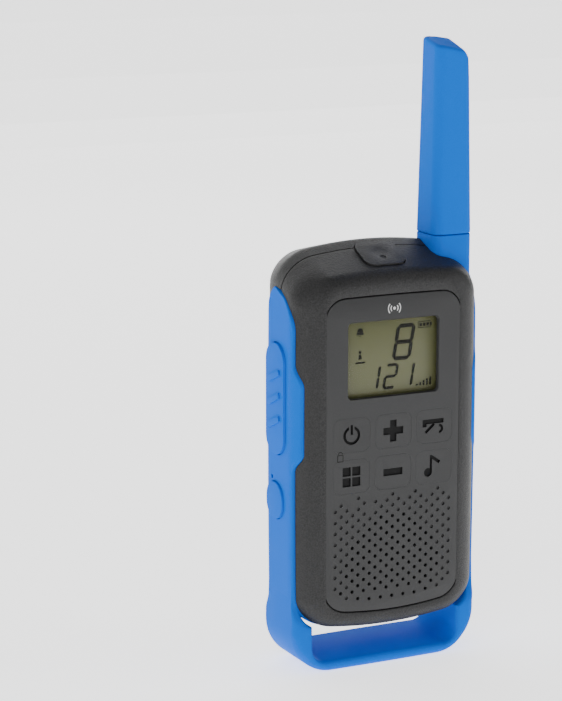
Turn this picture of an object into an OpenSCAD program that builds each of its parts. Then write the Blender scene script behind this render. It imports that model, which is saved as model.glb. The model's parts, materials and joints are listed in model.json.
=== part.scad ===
// Handheld two-way radio: dark two-part case, soft side frame with a lanyard loop,
// stub antenna, six membrane keys, side and top buttons, belt clip, sliding battery door.
// Millimetres. X to the right of the front face, Y to the back, Z up. Z = 0 is the rest face.

/* [Case] */
// case width without the frame's 0.4 mm a side
body_w = 57.8; // [50:0.2:64]
// case depth without the belt clip
body_d = 28; // [26:0.5:34]
// height of the case's lowest point above the rest face
body_bottom = 12; // [10:0.5:14]
// height of the case's highest point
body_top = 120.2; // [110:0.1:126]
// wall thickness
wall = 1.8; // [1.4:0.1:2.4]
// rounding of the upright edges, front
edge_r = 8; // [4:0.5:9]
// rounding of the upright edges, back
back_r = 11.5; // [6:0.5:13]
// rounding of the outline's corners
corner_r = 8; // [5:0.5:11]
// tilt of the top slope that carries the button
slope_a = 26; // [15:0.5:32]
// fall of the top behind its ridge
fall_a = 14; // [4:0.5:20]

/* [Front panel] */
// panel width
panel_w = 42.4; // [38:0.2:46]
// panel thickness
panel_t = 1.2; // [1:0.1:1.6]
// lowest and highest point of the panel
panel_z = [16.9, 106.9]; // [0:0.1:120]
// display window width and height
window = [28, 21.1]; // [15:0.1:34]
// height of the window's centre
window_z = 89.05; // [80:0.1:95]

/* [Keys] */
// distance between key columns
key_dx = 13; // [12:0.5:14]
// heights of the two key rows
key_rows = [68.4, 56.7]; // [50:0.1:75]
// key travel
key_travel = 0.5; // [0.3:0.05:0.6]
// depth of the pressed-in symbols
symbol_t = 0.45; // [0.2:0.05:0.8]

/* [Speaker grille] */
// distance between columns of holes
hole_dx = 1.8; // [1.6:0.05:2.2]
// distance between rows of holes
hole_dz = 1.575; // [1.4:0.025:2]
// hole diameter
hole_d = 0.95; // [0.7:0.05:1.2]
// height of the pattern's centre row
hole_z = 34.6; // [30:0.1:38]
// height of the speaker's centre
speaker_z = 30.8; // [28:0.1:34]
// radius inside which the holes go right through
open_r = 14.7; // [12:0.1:16]

/* [Antenna] */
// centre of the antenna
antenna_c = [23, -1.4]; // [-5:0.1:25]
// antenna width and depth at its foot
antenna_foot = [12.6, 12.4]; // [12:0.1:20]
// height of the seam above the collar
antenna_z = 120.6; // [115:0.1:124]
// height of the antenna's tip
antenna_top = 175.2; // [150:0.2:190]

/* [Side frame] */
// distance of the side frame's front edge behind the front face
band_in = 4.8; // [4:0.2:8]
// depth of the side frame from front to back
band_d = 15; // [12:0.5:20]
// how far the frame stands out of the case's sides
band_out = 0.4; // [0:0.1:1]
// height of the rounded tip of the left band
band_tip = 109.3; // [100:0.1:112]
// height of the loop's corners
loop_r = 12.5; // [8:0.5:14]

/* [Hidden] */
$fn = 48;
fit = 0.05;
run = 0.08;
hw = body_w / 2;
fw = hw + band_out;
front = -15;
back = front + body_d;
band_y0 = front + band_in;
band_y1 = band_y0 + band_d;
seam_y = (band_y0 + band_y1) / 2;
pocket_y = front + panel_t;
board_y = -7.2;
slot_hw = 23;
bosses = [[-22.5, 20.5], [22.5, 20.5], [-22.5, 102], [22.5, 102]];
button_o = [0, -7, 116.35];
clip_z = 94;
cell_x = [-10.9, 0, 10.9];
cell_y = back - 7.9;
cell_z0 = 21;
door_hw = 18.5;
door_top = 71;
ptt_c = [-1.4, 77.7];
ptt_s = [10.9, 31.4];
mon_c = [-0.9, 48.7];
mon_s = [9.6, 10.4];
flap_y = [-8.2, 2.8];
flap_z = [83, 97];
grille_top = [-8, -9, -8, -7, -10, -9, -6, -9, -8, -9, -10,
              -9, -10, -9, -8, -9, -8, -9, -10, -9, -8];

// ---- helpers ----

// rounded rectangle about the origin
module rr(w, h, r) {
    square([w - 2 * r, h], center = true);
    square([w, h - 2 * r], center = true);
    for (x = [-1, 1], y = [-1, 1])
        translate([x * (w / 2 - r), y * (h / 2 - r)])
            circle(r);
}

// a shape drawn in X and Z, from y0 back to y1
module along_y(y0, y1) {
    translate([0, y1, 0])
        rotate([90, 0, 0])
            linear_extrude(y1 - y0)
                children();
}

// a shape drawn in Y and Z, from x0 to x1
module along_x(x0, x1) {
    translate([x0, 0, 0])
        rotate([90, 0, 90])
            linear_extrude(x1 - x0)
                children();
}

// a shape drawn in X and Y, from z0 to z1
module along_z(z0, z1) {
    translate([0, 0, z0])
        linear_extrude(z1 - z0)
            children();
}

module box(x0, x1, y0, y1, z0, z1) {
    translate([x0, y0, z0])
        cube([x1 - x0, y1 - y0, z1 - z0]);
}

// a rod along Y at x, z
module rod_y(x, z, r, y0, y1) {
    translate([x, y0, z])
        rotate([-90, 0, 0])
            cylinder(r = r, h = y1 - y0);
}

// ---- case form ----

// front outline of the case, inset by d
module outline(d, w = body_w) {
    intersection() {
        translate([0, (body_bottom + body_top) / 2])
            rr(w - 2 * d, body_top - body_bottom - 2 * d, corner_r - d);
        translate([0, body_bottom + 125])
            circle(125 - d, $fn = 200);
        circle(body_top - d, $fn = 200);
    }
}

// side outline of the case, inset by d: upright front, slope for the button, ridge, gentle fall
module side_outline(d) {
    r = 5 - d;
    n = [sin(slope_a), -cos(slope_a)];
    c = [front + 5, button_o[2] + (front + 5 - button_o[1]) * tan(slope_a) - 5 / cos(slope_a)];
    s = tan(slope_a);
    t = tan(fall_a);
    top_y = button_o[1] + (body_top - button_o[2]) / s;
    ridge_y = top_y + d * (1 / cos(slope_a) - 1 / cos(fall_a)) / (s + t);
    ridge_z = body_top + (top_y - ridge_y) * t - d / cos(fall_a);
    m = [back - 5, body_top - (back - 5 - top_y) * t - 5 / cos(fall_a)];
    z0 = body_bottom + d;
    rr_b = 4 - d;
    polygon([[front + d, z0 + rr_b], [front + d, c[1]], c - n * r, [ridge_y, ridge_z],
             m + r * [sin(fall_a), cos(fall_a)], [back - d, m[1]], [back - d, z0 + rr_b], [back - 4, z0],
             [front + 4, z0]]);
    for (p = [c, m])
        translate(p)
            circle(r);
    for (p = [[front + 4, z0 + rr_b], [back - 4, z0 + rr_b]])
        translate(p)
            circle(rr_b);
}

// outline seen from above, inset by d: tighter corners in front than behind
module plan2d(d) {
    far = 40;
    intersection() {
        translate([0, (front + far) / 2])
            rr(body_w - 2 * d, far - front - 2 * d, edge_r - d);
        translate([0, (back - far) / 2])
            rr(body_w - 2 * d, far + back - 2 * d, back_r - d);
    }
}

// the case's solid form, inset by d
module form(d) {
    intersection() {
        along_y(front - 1, back + 1)
            outline(d);
        along_x(-hw - 1, hw + 1)
            side_outline(d);
        along_z(0, body_top + 1)
            plan2d(d);
    }
}

// the soft frame's outer form, a little wider than the case and less rounded at its edges
module frame_form() {
    intersection() {
        along_y(front - 1, back + 1)
            outline(0, 2 * fw);
        along_x(-fw - 1, fw + 1)
            side_outline(0);
        along_z(0, body_top + 1)
            plan2d(-0.6);
    }
}

module shell() {
    difference() {
        form(0);
        form(wall);
    }
}

// ---- the side frame's territory ----

function ease(t) = let (u = min(1, max(0, t))) u * u * (3 - 2 * u);
// how far the flare has grown at height z: 0 below and above, 1 over its full width
function flare(z) = ease((z - 61) / 5.5) * (1 - ease((z - 86.5) / 6));

// band seen from the side, grown by g
module band2d(g) {
    mid = (band_y0 + band_y1) / 2;
    r = (band_y1 - band_y0) / 2;
    translate([band_y0 - g, 0])
        square([band_y1 - band_y0 + 2 * g, band_tip - r]);
    translate([mid, band_tip - r])
        circle(r + g);
}

// the flare that wraps onto the front edges
module flare2d(g) {
    polygon(concat([for (z = [58:1.25:92.01]) [band_y0 - g - 2.3 * flare(z), z]],
                   [[0, 92.01], [0, 58]]));
}

module band(g) {
    along_x(-fw - 2, fw + 2)
        band2d(g);
    for (s = [-1, 1])
        along_x(s > 0 ? slot_hw - 0.5 : -fw - 2, s > 0 ? fw + 2 : 0.5 - slot_hw)
            flare2d(g);
}

// footprint of the collar under the antenna
module collar2d(g) {
    translate([antenna_c[0], antenna_c[1]])
        rr(antenna_foot[0] + 2 * g, antenna_foot[1] + 2 * g, 3 + g);
}

// room in the case for the upper ends of the loop
module loop_seat() {
    difference() {
        for (s = [-1, 1])
            box(s > 0 ? slot_hw - fit : -fw - 1, s > 0 ? fw + 1 : fit - slot_hw,
                -12 - fit, 8 + fit, 0, loop_r + 10 + fit);
        form(wall / 2 + fit);
    }
}

module on_slope() {
    translate(button_o)
        rotate([slope_a, 0, 0])
            children();
}

// the top button's outline
module button2d(g) {
    translate([0, 0.8])
        rr(12.6 + 2 * g, 11 + 2 * g, 3 + g);
}

module panel2d(d) {
    intersection() {
        translate([0, (panel_z[0] + panel_z[1]) / 2])
            rr(panel_w - 2 * d, panel_z[1] - panel_z[0] - 2 * d, 6 - d);
        translate([0, panel_z[0] + 91])
            circle(91 - d, $fn = 160);
        translate([0, panel_z[1] - 308])
            circle(308 - d, $fn = 360);
    }
}

// ---- case ----

module front_housing() {
    color("#3c3f44") {
        difference() {
            intersection() {
                shell();
                box(-hw - 1, hw + 1, front - 1, seam_y, 0, body_top + 1);
            }
            band(fit);
            loop_seat();
            along_z(100, body_top + 1)
                collar2d(fit);
            along_y(front - 1, pocket_y)
                panel2d(0);
            along_y(front, front + 3)
                translate([0, window_z])
                    rr(30.4, 23.4, 1.5);
            along_y(front, front + 3)
                translate([0, (key_rows[0] + key_rows[1]) / 2])
                    rr(39, 23, 3);
            rod_y(0, speaker_z, 15.2, front, front + 3);
            box(-16.8, -15.6, front, front + 3, 19.6, 24.2);
            on_slope()
                translate([0, 0, -4])
                    linear_extrude(8)
                        button2d(0.3);
        }
        difference() {
            union() {
                for (b = bosses)
                    rod_y(b[0], b[1], 2.6, front + wall - 0.3, 3.4);
            }
            for (b = bosses)
                rod_y(b[0], b[1], 1.05, -4, 4);
        }
    }
}

// rows of grille holes; through = holes inside the speaker's circle
module grille2d(through) {
    for (i = [-10:10], j = [-10:8]) {
        inside = j >= grille_top[i + 10] && j <= (abs(i) == 10 ? 6 : abs(i) == 9 ? 7 : 8);
        sag = j < 8 ? 0 : 1.1 * (1 - ease((abs(i) - 4) / 4));
        x = i * hole_dx;
        z = hole_z - hole_dz * j - sag;
        deep = norm([x, z - speaker_z]) < open_r;
        // one hole outside the circle goes through too, to the microphone
        open = deep || (i == -9 && j == 7);
        if ((i + j) % 2 == 0 && inside && open == through)
            translate([x, z])
                circle(hole_d / 2, $fn = through ? 8 : 6);
    }
}

module front_panel() {
    color("#55585d")
        difference() {
            along_y(front, pocket_y - fit)
                difference() {
                    panel2d(0.2);
                    translate([0, window_z])
                        rr(window[0], window[1], 1.2);
                    for (x = [-1, 0, 1], z = key_rows)
                        translate([x * key_dx, z])
                            rr(11.4 + 2 * run, 9.6 + 2 * run, 2.2 + run);
                    grille2d(true);
                }
            along_y(front - 1, front + 0.5)
                grille2d(false);
        }
}

module display_lens() {
    color("#c8d0d4")
        along_y(pocket_y, front + 2)
            translate([0, window_z])
                rr(30, 23, 1.3);
}

module lcd_glass() {
    color("#70704a")
        along_y(front + 2.1, front + 3.7)
            translate([0, window_z])
                square([30, 23], center = true);
}

module lcd_holder() {
    color("#e4e4dc")
        difference() {
            box(-16, 16, front + 3.75, board_y - fit, window_z - 12.5, window_z + 12.5);
            box(-14, 14, front + 5, board_y + 1, window_z - 10.5, window_z + 10.5);
        }
}

// bottom loop: the frame's corners carried down and joined by a bar
module loop() {
    difference() {
        intersection() {
            along_y(-12, 8)
                difference() {
                    union() {
                        translate([-fw, loop_r])
                            square([2 * fw, 10]);
                        translate([loop_r - fw, 0])
                            square([2 * fw - 2 * loop_r, loop_r + 1]);
                        for (s = [-1, 1])
                            translate([s * (fw - loop_r), loop_r])
                                circle(loop_r);
                    }
                    outline(wall / 2);
                    translate([0, 12.35])
                        rr(2 * slot_hw, 18.5, 4);
                }
            // side view: rounded below, drawn in to the band's depth above
            along_x(-fw - 1, fw + 1) {
                translate([-2, 7])
                    rr(20, 14, 3);
                polygon([[-12, 6], [-12, 16], [band_y0, 22.5], [band_y1, 22.5], [band_y1, 12], [8, 6]]);
            }
        }
        form(wall / 2);
        // broad bevel leading into the slot
        for (s = [-1, 1])
            along_z(3.1, 21.6)
                polygon([[s * 22.4, -5], [s * 27, -12.5], [s * 22.4, -12.5]]);
    }
    // sloping inner face of the bar, low at the front
    intersection() {
        along_x(-slot_hw - 1, slot_hw + 1)
            polygon([[-11, 1.5], [7.5, 1.5], [7.5, 4.6], [-11, 3]]);
        along_y(-12, 8)
            square([2 * slot_hw + 1, 14], center = true);
    }
}

module blue_frame() {
    color("#1583e0")
        difference() {
            union() {
                intersection() {
                    difference() {
                        frame_form();
                        form(wall);
                    }
                    band(0);
                }
                loop();
                along_z(108, antenna_z)
                    collar2d(0);
            }
            // inside of the collar, bored for the antenna's ferrule
            translate([antenna_c[0], antenna_c[1], 100])
                cylinder(r = 3.9, h = 30);
            // side button openings
            along_x(-fw - 2, -fw + 3.4)
                translate(ptt_c)
                    rr(ptt_s[0] + 2 * run, ptt_s[1] + 2 * run, ptt_s[0] / 2 - 0.1);
            along_x(-fw - 2, -fw + 3.4)
                translate(mon_c)
                    rr(mon_s[0] + 2 * run, mon_s[1] + 2 * run, mon_s[0] / 2 - 0.1);
            // marker dimple between the two buttons
            translate([-fw - 0.5, 1.5, 55])
                rotate([0, 90, 0])
                    cylinder(r = 0.55, h = 1.1);
            // charging port: recess for the flap and the socket's mouth
            box(fw - 0.95, fw + 1, flap_y[0] - run, flap_y[1] + run, flap_z[0] - run, flap_z[1] + run);
            box(fw - 4, fw + 1, -6.1, -2.3, 85.5, 94.5);
        }
}

module door2d() {
    translate([-door_hw, 0])
        square([2 * door_hw, door_top]);
}

module rear_housing() {
    color("#34373b")
        difference() {
            union() {
                difference() {
                    intersection() {
                        shell();
                        box(-hw - 1, hw + 1, seam_y + fit, back + 1, 0, body_top + 1);
                    }
                    band(fit);
                    loop_seat();
                }
                intersection() {
                    for (b = bosses)
                        rod_y(b[0], b[1], 3, 3.5, back);
                    form(0);
                }
                // swivel seat of the belt clip
                rod_y(0, clip_z, 9, back - 3.5, back + 1.2);
            }
            along_z(100, body_top + 1)
                collar2d(fit);
            on_slope()
                translate([0, 0, -4])
                    linear_extrude(8)
                        button2d(0.3);
            for (b = bosses) {
                rod_y(b[0], b[1], 1.25, 2, back + 1);
                rod_y(b[0], b[1], 2.5, back - 6, back + 1);
            }
            rod_y(0, clip_z, 4, back - 5, back + 2);
            rod_y(0, clip_z, 5.6, back - 5, back - 2);
            // opening for the battery door and the grooves for its rails
            box(-door_hw - 0.1, door_hw + 0.1, back - 1.75, back + 1, 0, door_top + 0.1);
            box(-door_hw - 1.3, door_hw + 1.3, back - 2.6, back - 1.1, 0, 66.2);
            // the cells' bay opens to the back
            box(-16.6, 16.6, back - 10, back + 1, 19, 68);
        }
}

// ---- antenna ----

module antenna_sheath() {
    taper = 1;
    x0 = antenna_c[0] - antenna_foot[0] / 2;
    x1 = antenna_c[0] + antenna_foot[0] / 2;
    y0 = antenna_c[1] - antenna_foot[1] / 2;
    y1 = antenna_c[1] + antenna_foot[1] / 2;
    color("#1583e0")
        difference() {
            intersection() {
                along_z(antenna_z + fit, antenna_top)
                    collar2d(0);
                // front view: tapered, with a small left and a large right top corner
                along_y(-20, 20)
                    difference() {
                        polygon([[x0, antenna_z], [x1, antenna_z], [x1 - taper, antenna_top],
                                 [x0 + taper, antenna_top]]);
                        translate([x1 - taper - 6, antenna_top - 6])
                            difference() {
                                square(8);
                                circle(6);
                            }
                        translate([x0 + taper + 1.5, antenna_top - 1.5])
                            rotate(90)
                                difference() {
                                    square(4);
                                    circle(1.5);
                                }
                    }
                // side view: tapered, top sloping to the front
                along_x(-10, 40)
                    polygon([[y0, antenna_z], [y1, antenna_z], [y1 - taper, antenna_top],
                             [y1 - taper - 3, antenna_top], [y0 + taper, antenna_top - 2.3]]);
            }
            translate([antenna_c[0], antenna_c[1], antenna_z - 1])
                cylinder(r = 3.9, h = antenna_top - antenna_z - 6);
        }
}

module antenna_coil() {
    color("#b8722c")
        translate([antenna_c[0], antenna_c[1], 0]) {
            translate([0, 0, 127])
                cylinder(r = 1.5, h = 40, $fn = 12);
            for (z = [131:4:163])
                translate([0, 0, z])
                    cylinder(r = 2.6, h = 1.2, $fn = 12);
        }
}

module antenna_ferrule() {
    color("#b9974a")
        translate([antenna_c[0], antenna_c[1], 0]) {
            translate([0, 0, 105.3])
                cylinder(r = 2, h = 4);
            translate([0, 0, 108.5])
                cylinder(r = 3.85, h = 18);
        }
}

// ---- electronics ----

module main_board() {
    color("#1f6b3a")
        along_y(board_y, board_y + 1.2)
            difference() {
                translate([-24, 44])
                    square([48, 62]);
                translate([0, speaker_z])
                    circle(16.4);
                for (b = bosses)
                    translate(b)
                        circle(3.3);
            }
}

module board_parts() {
    y = board_y + 1.25;
    color("#222428") {
        box(-8, 0, y, y + 1, 54, 62);
        box(4, 9, y, y + 1.2, 56, 61);
        box(-18, -12, y, y + 1.6, 58, 63);
        box(11, 15, y, y + 3, 50, 54);
        box(16.5, 19, y, y + 2, 70, 76);
        rod_y(-15, 51.5, 2.5, y, y + 3.9);
        rod_y(18, 64, 2, y, y + 3.9);
    }
}

module rf_shield() {
    y = board_y + 1.25;
    color("#b9bcc0")
        difference() {
            box(-16, 13, y, y + 2.6, 68, 98);
            box(-15.7, 12.7, y - 1, y + 2.3, 68.3, 97.7);
        }
}

module dome_sheet() {
    color("#c9ccd0")
        for (x = [-1, 0, 1], z = key_rows)
            rod_y(x * key_dx, z, 3, board_y - 0.35, board_y - fit);
}

module keypad_mat() {
    color("#6b6e73")
        along_y(front + 2.5, front + 3.3)
            difference() {
                translate([0, (key_rows[0] + key_rows[1]) / 2])
                    square([40, 25], center = true);
                for (x = [-1, 0, 1], z = key_rows)
                    translate([x * key_dx, z])
                        circle(2.1);
            }
}

module ptt_switch() {
    y = board_y + 1.25;
    color("#2a2a2c") {
        box(-23.6, -20, y, y + 3.4, 74, 80.5);
        box(-24.1, -23.5, y + 0.9, y + 2.5, 76, 78.5);
    }
}

module monitor_switch() {
    y = board_y + 1.25;
    color("#2a2a2c") {
        box(-23.6, -20, y, y + 3.4, 45.5, 51);
        box(-24.1, -23.5, y + 0.9, y + 2.5, 47, 49.6);
    }
}

module top_switch() {
    color("#2a2a2c")
        on_slope() {
            translate([-3, -2.8, -8])
                cube([6, 5.6, 2.6]);
            translate([0, 0, -5.5])
                cylinder(r = 1.4, h = 0.6);
        }
}

module port_socket() {
    y = board_y + 1.25;
    color("#c4c7ca")
        difference() {
            box(19, hw - 2, y, y + 3.2, 85.6, 94.4);
            box(20, fw + 1, y + 0.4, y + 2.8, 86, 94);
        }
}

// ---- sound ----

module speaker_frame() {
    color("#2c2e31")
        translate([0, front + 2.55, speaker_z])
            rotate([-90, 0, 0])
                difference() {
                    union() {
                        cylinder(r = 16, h = 1.2);
                        cylinder(r = 13, h = 4.4);
                    }
                    translate([0, 0, -1])
                        cylinder(r = 14.2, h = 1.8);
                    translate([0, 0, -1])
                        cylinder(r = 12, h = 4.6);
                    translate([0, 0, -1])
                        cylinder(r = 7, h = 8);
                }
}

module speaker_cone() {
    color("#3a3a36")
        translate([0, front + 2.6, speaker_z])
            rotate([-90, 0, 0])
                rotate_extrude()
                    polygon([[0, 2.2], [4, 1.6], [5, 2.6], [11.5, 0.4], [14.1, 0.4], [14.1, 0.7],
                             [11.7, 0.7], [5, 3], [4, 2], [0, 2.6]]);
}

module speaker_magnet() {
    color("#8d9094")
        rod_y(0, speaker_z, 6.9, front + 6.2, front + 9.6);
}

module speaker_mesh() {
    color("#17181a")
        rod_y(0, speaker_z, 15.1, pocket_y, pocket_y + 0.3);
}

module microphone() {
    color("#a9acb0")
        rod_y(-16.2, 20.2, 2, front + 2.7, front + 4.7);
}

module mic_boot() {
    color("#202123")
        difference() {
            rod_y(-16.2, 20.2, 2.8, front + 1.85, front + 4.9);
            rod_y(-16.2, 20.2, 2.05, front + 2.6, front + 6);
            rod_y(-16.2, 20.2, 0.7, front + 1, front + 4);
        }
}

// ---- power ----

module battery_tray() {
    color("#2d2f33")
        difference() {
            box(-17.8, 17.8, back - 14.8, back - 2.8, 17.6, 69.4);
            box(-16.5, 16.5, back - 13.6, back, 18.8, 68.2);
        }
}

module cell(x) {
    translate([x, cell_y, cell_z0]) {
        color("#c9a227")
            cylinder(r = 5.25, h = 43.6);
        color("#c4c7ca")
            cylinder(r = 1.9, h = 44.5);
    }
}

module battery_cell_left() {
    cell(cell_x[0]);
}

module battery_cell_middle() {
    cell(cell_x[1]);
}

module battery_cell_right() {
    cell(cell_x[2]);
}

module battery_springs() {
    color("#c4c7ca")
        for (x = cell_x)
            translate([x, cell_y, 18.85]) {
                cylinder(r = 4, h = 0.5);
                cylinder(r = 3, h = 1.3);
                cylinder(r = 2.2, h = 2.1);
            }
}

module battery_contacts() {
    color("#c4c7ca")
        for (x = cell_x)
            box(x - 4, x + 4, cell_y - 4, cell_y + 4, cell_z0 + 44.55, 67.9);
}

module case_screws() {
    color("#8d9094")
        for (b = bosses)
            difference() {
                union() {
                    rod_y(b[0], b[1], 2.2, back - 5.95, back - 4.6);
                    rod_y(b[0], b[1], 1, -3, back - 5.9);
                }
                box(b[0] - 1.3, b[0] + 1.3, back - 5.2, back, b[1] - 0.3, b[1] + 0.3);
                box(b[0] - 0.3, b[0] + 0.3, back - 5.2, back, b[1] - 1.3, b[1] + 1.3);
            }
}

// ---- side and top buttons ----

module ptt_button() {
    color("#1a8ae8")
        difference() {
            union() {
                along_x(-fw - 0.7, -fw + 2.8)
                    translate(ptt_c)
                        rr(ptt_s[0], ptt_s[1], ptt_s[0] / 2 - 0.2);
                intersection() {
                    along_x(-hw + wall + 0.1, -hw + wall + 0.9)
                        translate(ptt_c)
                            rr(ptt_s[0] + 1.6, ptt_s[1] + 1.6, ptt_s[0] / 2);
                    form(wall + 0.1);
                }
                box(-hw + 2.3, -hw + 3.6, -4.8, -3.6, 75.8, 78.8);
                // three slanting grip ribs
                for (z = [-6.5, 0, 6.5])
                    translate([-fw - 0.7, ptt_c[0], ptt_c[1] + z])
                        rotate([-24, 0, 0])
                            cube([1, 7.2, 1.6], center = true);
            }
            along_x(-hw + 0.8, -hw + 2.2)
                translate(ptt_c + [0.8, 0])
                    rr(ptt_s[0] - 4, ptt_s[1] - 6, 2);
        }
}

module monitor_button() {
    color("#1a8ae8") {
        along_x(-fw - 0.6, -fw + 2.8)
            translate(mon_c)
                rr(mon_s[0], mon_s[1], mon_s[0] / 2 - 0.2);
        intersection() {
            along_x(-hw + wall + 0.1, -hw + wall + 0.9)
                translate(mon_c)
                    rr(mon_s[0] + 1.6, mon_s[1] + 1.6, mon_s[0] / 2);
            form(wall + 0.1);
        }
        box(-hw + 2.3, -hw + 3.9, -4.8, -3.6, 47.2, 49.4);
    }
}

module top_button() {
    color("#35383c")
        on_slope()
            difference() {
                union() {
                    translate([0, 0, -2.6])
                        linear_extrude(3)
                            button2d(0);
                    translate([0, 0, -2.9])
                        linear_extrude(0.8)
                            button2d(1.1);
                    translate([0, 0, -4.2])
                        cylinder(r = 1.3, h = 2);
                }
                translate([0, 1, 22.2])
                    sphere(22, $fn = 96);
                translate([0, -1.2, 0.1])
                    cylinder(r = 0.9, h = 1);
            }
}

// ---- keys ----

module key_body(x, z) {
    along_y(front, pocket_y)
        translate([x, z])
            rr(11.4, 9.6, 2.2);
    rod_y(x, z, 1.7, pocket_y - 0.1, board_y - 0.4 - key_travel);
}

module pressed(x, z) {
    along_y(front - 1, front + symbol_t)
        translate([x, z])
            children();
}

module key_power() {
    color("#55585d")
        difference() {
            key_body(-key_dx, key_rows[0]);
            pressed(-key_dx, key_rows[0]) {
                difference() {
                    circle(2.6);
                    circle(1.85);
                    translate([-0.85, 0.5])
                        square([1.7, 3]);
                }
                translate([-0.35, 0.2])
                    square([0.7, 2.7]);
            }
        }
}

module key_up() {
    color("#55585d")
        difference() {
            key_body(0, key_rows[0]);
            pressed(0, key_rows[0]) {
                square([6.2, 2], center = true);
                square([2, 6.1], center = true);
            }
        }
}

module key_call() {
    color("#55585d")
        difference() {
            key_body(key_dx, key_rows[0]);
            pressed(key_dx, key_rows[0]) {
                translate([-3.2, 0.7])
                    square([6.2, 1.3]);
                translate([-3.7, -0.1])
                    square([1.3, 2.1]);
                translate([-2.5, -2])
                    rotate(40)
                        square([3.6, 0.8]);
                difference() {
                    translate([1.6, -0.9])
                        circle(1.3);
                    translate([1.6, -0.9])
                        circle(0.6);
                    translate([-1, -2.5])
                        square([2.6, 3]);
                }
            }
        }
}

module key_menu() {
    color("#55585d")
        difference() {
            key_body(-key_dx, key_rows[1]);
            pressed(-key_dx, key_rows[1])
                for (x = [-1.5, 1.5], z = [-1.5, 1.5])
                    translate([x, z])
                        square(2.5, center = true);
        }
}

module key_down() {
    color("#55585d")
        difference() {
            key_body(0, key_rows[1]);
            pressed(0, key_rows[1])
                square([6, 2], center = true);
        }
}

module key_tone() {
    color("#55585d")
        difference() {
            key_body(key_dx, key_rows[1]);
            pressed(key_dx, key_rows[1]) {
                translate([-1.8, -1.5])
                    circle(1.25);
                translate([-1.25, -1.6])
                    square([0.7, 5]);
                translate([-1, 2.6])
                    rotate(-35)
                        square([3.2, 0.9]);
            }
        }
}

// ---- back ----

module battery_door() {
    color("#34373b")
        difference() {
            union() {
                intersection() {
                    form(0);
                    along_y(back - 1.7, back + 1)
                        door2d();
                }
                for (s = [-1, 1])
                    box(s > 0 ? door_hw - 1 : -door_hw - 1.2, s > 0 ? door_hw + 1.2 : 1 - door_hw,
                        back - 2.5, back - 1.7, 24.5, 66);
                for (s = [-1, 1])
                    box(s > 0 ? door_hw - 1 : -door_hw - 1.2, s > 0 ? door_hw + 1.2 : 1 - door_hw,
                        back - 1.75, back - 1.2, 24.5, 66);
            }
            // grip steps near the door's upper edge
            for (z = [58:2.2:67])
                box(-9, 9, back - 0.6, back + 1, z, z + 1);
        }
}

module belt_clip() {
    color("#303338") {
        rod_y(0, clip_z, 3.92, back - 3, back + 2);
        rod_y(0, clip_z, 5.2, back - 4, back - 2.8);
        rod_y(0, clip_z, 9, back + 1.3, back + 7.2);
        difference() {
            along_x(-11, 11)
                polygon([[back + 1.3, 88], [back + 1.3, 104], [back + 3, 106], [back + 6, 106],
                         [back + 8, 103], [back + 9, 80], [back + 9, 50], [back + 7.5, 46],
                         [back + 3.2, 43.5], [back + 2.2, 44.5], [back + 3, 46.5],
                         [back + 6.6, 52], [back + 6.6, 84], [back + 5.6, 88]]);
            for (s = [-1, 1])
                translate([s * 11, back + 5, 0])
                    cylinder(r = 1.2, h = 200, $fn = 4);
        }
    }
}

module port_flap() {
    hinge_r = 0.45;
    color("#1583e0")
        difference() {
            union() {
                box(fw - 2 * hinge_r, fw, flap_y[0], flap_y[1] - hinge_r, flap_z[0], flap_z[1]);
                // round hinge edge
                translate([fw - hinge_r, flap_y[1] - hinge_r, flap_z[0]])
                    cylinder(r = hinge_r, h = flap_z[1] - flap_z[0]);
            }
            box(fw - 0.35, fw + 1, flap_y[0] - 1, flap_y[0] + 0.8, 88, 92);
        }
}

front_housing();
front_panel();
display_lens();
lcd_glass();
lcd_holder();
blue_frame();
rear_housing();
antenna_sheath();
antenna_coil();
antenna_ferrule();
main_board();
board_parts();
rf_shield();
dome_sheet();
keypad_mat();
ptt_switch();
monitor_switch();
top_switch();
speaker_frame();
speaker_cone();
speaker_magnet();
speaker_mesh();
microphone();
mic_boot();
battery_tray();
battery_cell_left();
battery_cell_middle();
battery_cell_right();
battery_springs();
battery_contacts();
case_screws();
port_socket();
ptt_button();
monitor_button();
top_button();
key_power();
key_up();
key_call();
key_menu();
key_down();
key_tone();
battery_door();
belt_clip();
port_flap();
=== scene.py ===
import json
import math

import bmesh
import bpy
import numpy as np
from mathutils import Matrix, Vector


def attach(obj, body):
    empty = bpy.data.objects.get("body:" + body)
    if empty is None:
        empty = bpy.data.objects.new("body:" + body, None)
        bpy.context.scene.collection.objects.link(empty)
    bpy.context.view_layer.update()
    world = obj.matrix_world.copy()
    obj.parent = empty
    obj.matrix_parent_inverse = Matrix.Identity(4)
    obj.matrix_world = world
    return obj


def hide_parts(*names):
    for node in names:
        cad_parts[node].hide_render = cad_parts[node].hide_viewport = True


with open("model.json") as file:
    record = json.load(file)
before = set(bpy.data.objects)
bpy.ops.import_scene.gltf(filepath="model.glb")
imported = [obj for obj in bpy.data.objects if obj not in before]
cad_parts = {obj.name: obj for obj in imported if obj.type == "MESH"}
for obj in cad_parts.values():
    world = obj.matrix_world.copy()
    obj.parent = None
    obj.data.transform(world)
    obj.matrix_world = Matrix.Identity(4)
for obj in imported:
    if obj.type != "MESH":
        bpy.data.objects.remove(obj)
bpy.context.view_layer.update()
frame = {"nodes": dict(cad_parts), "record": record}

MM = 0.001

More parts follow.
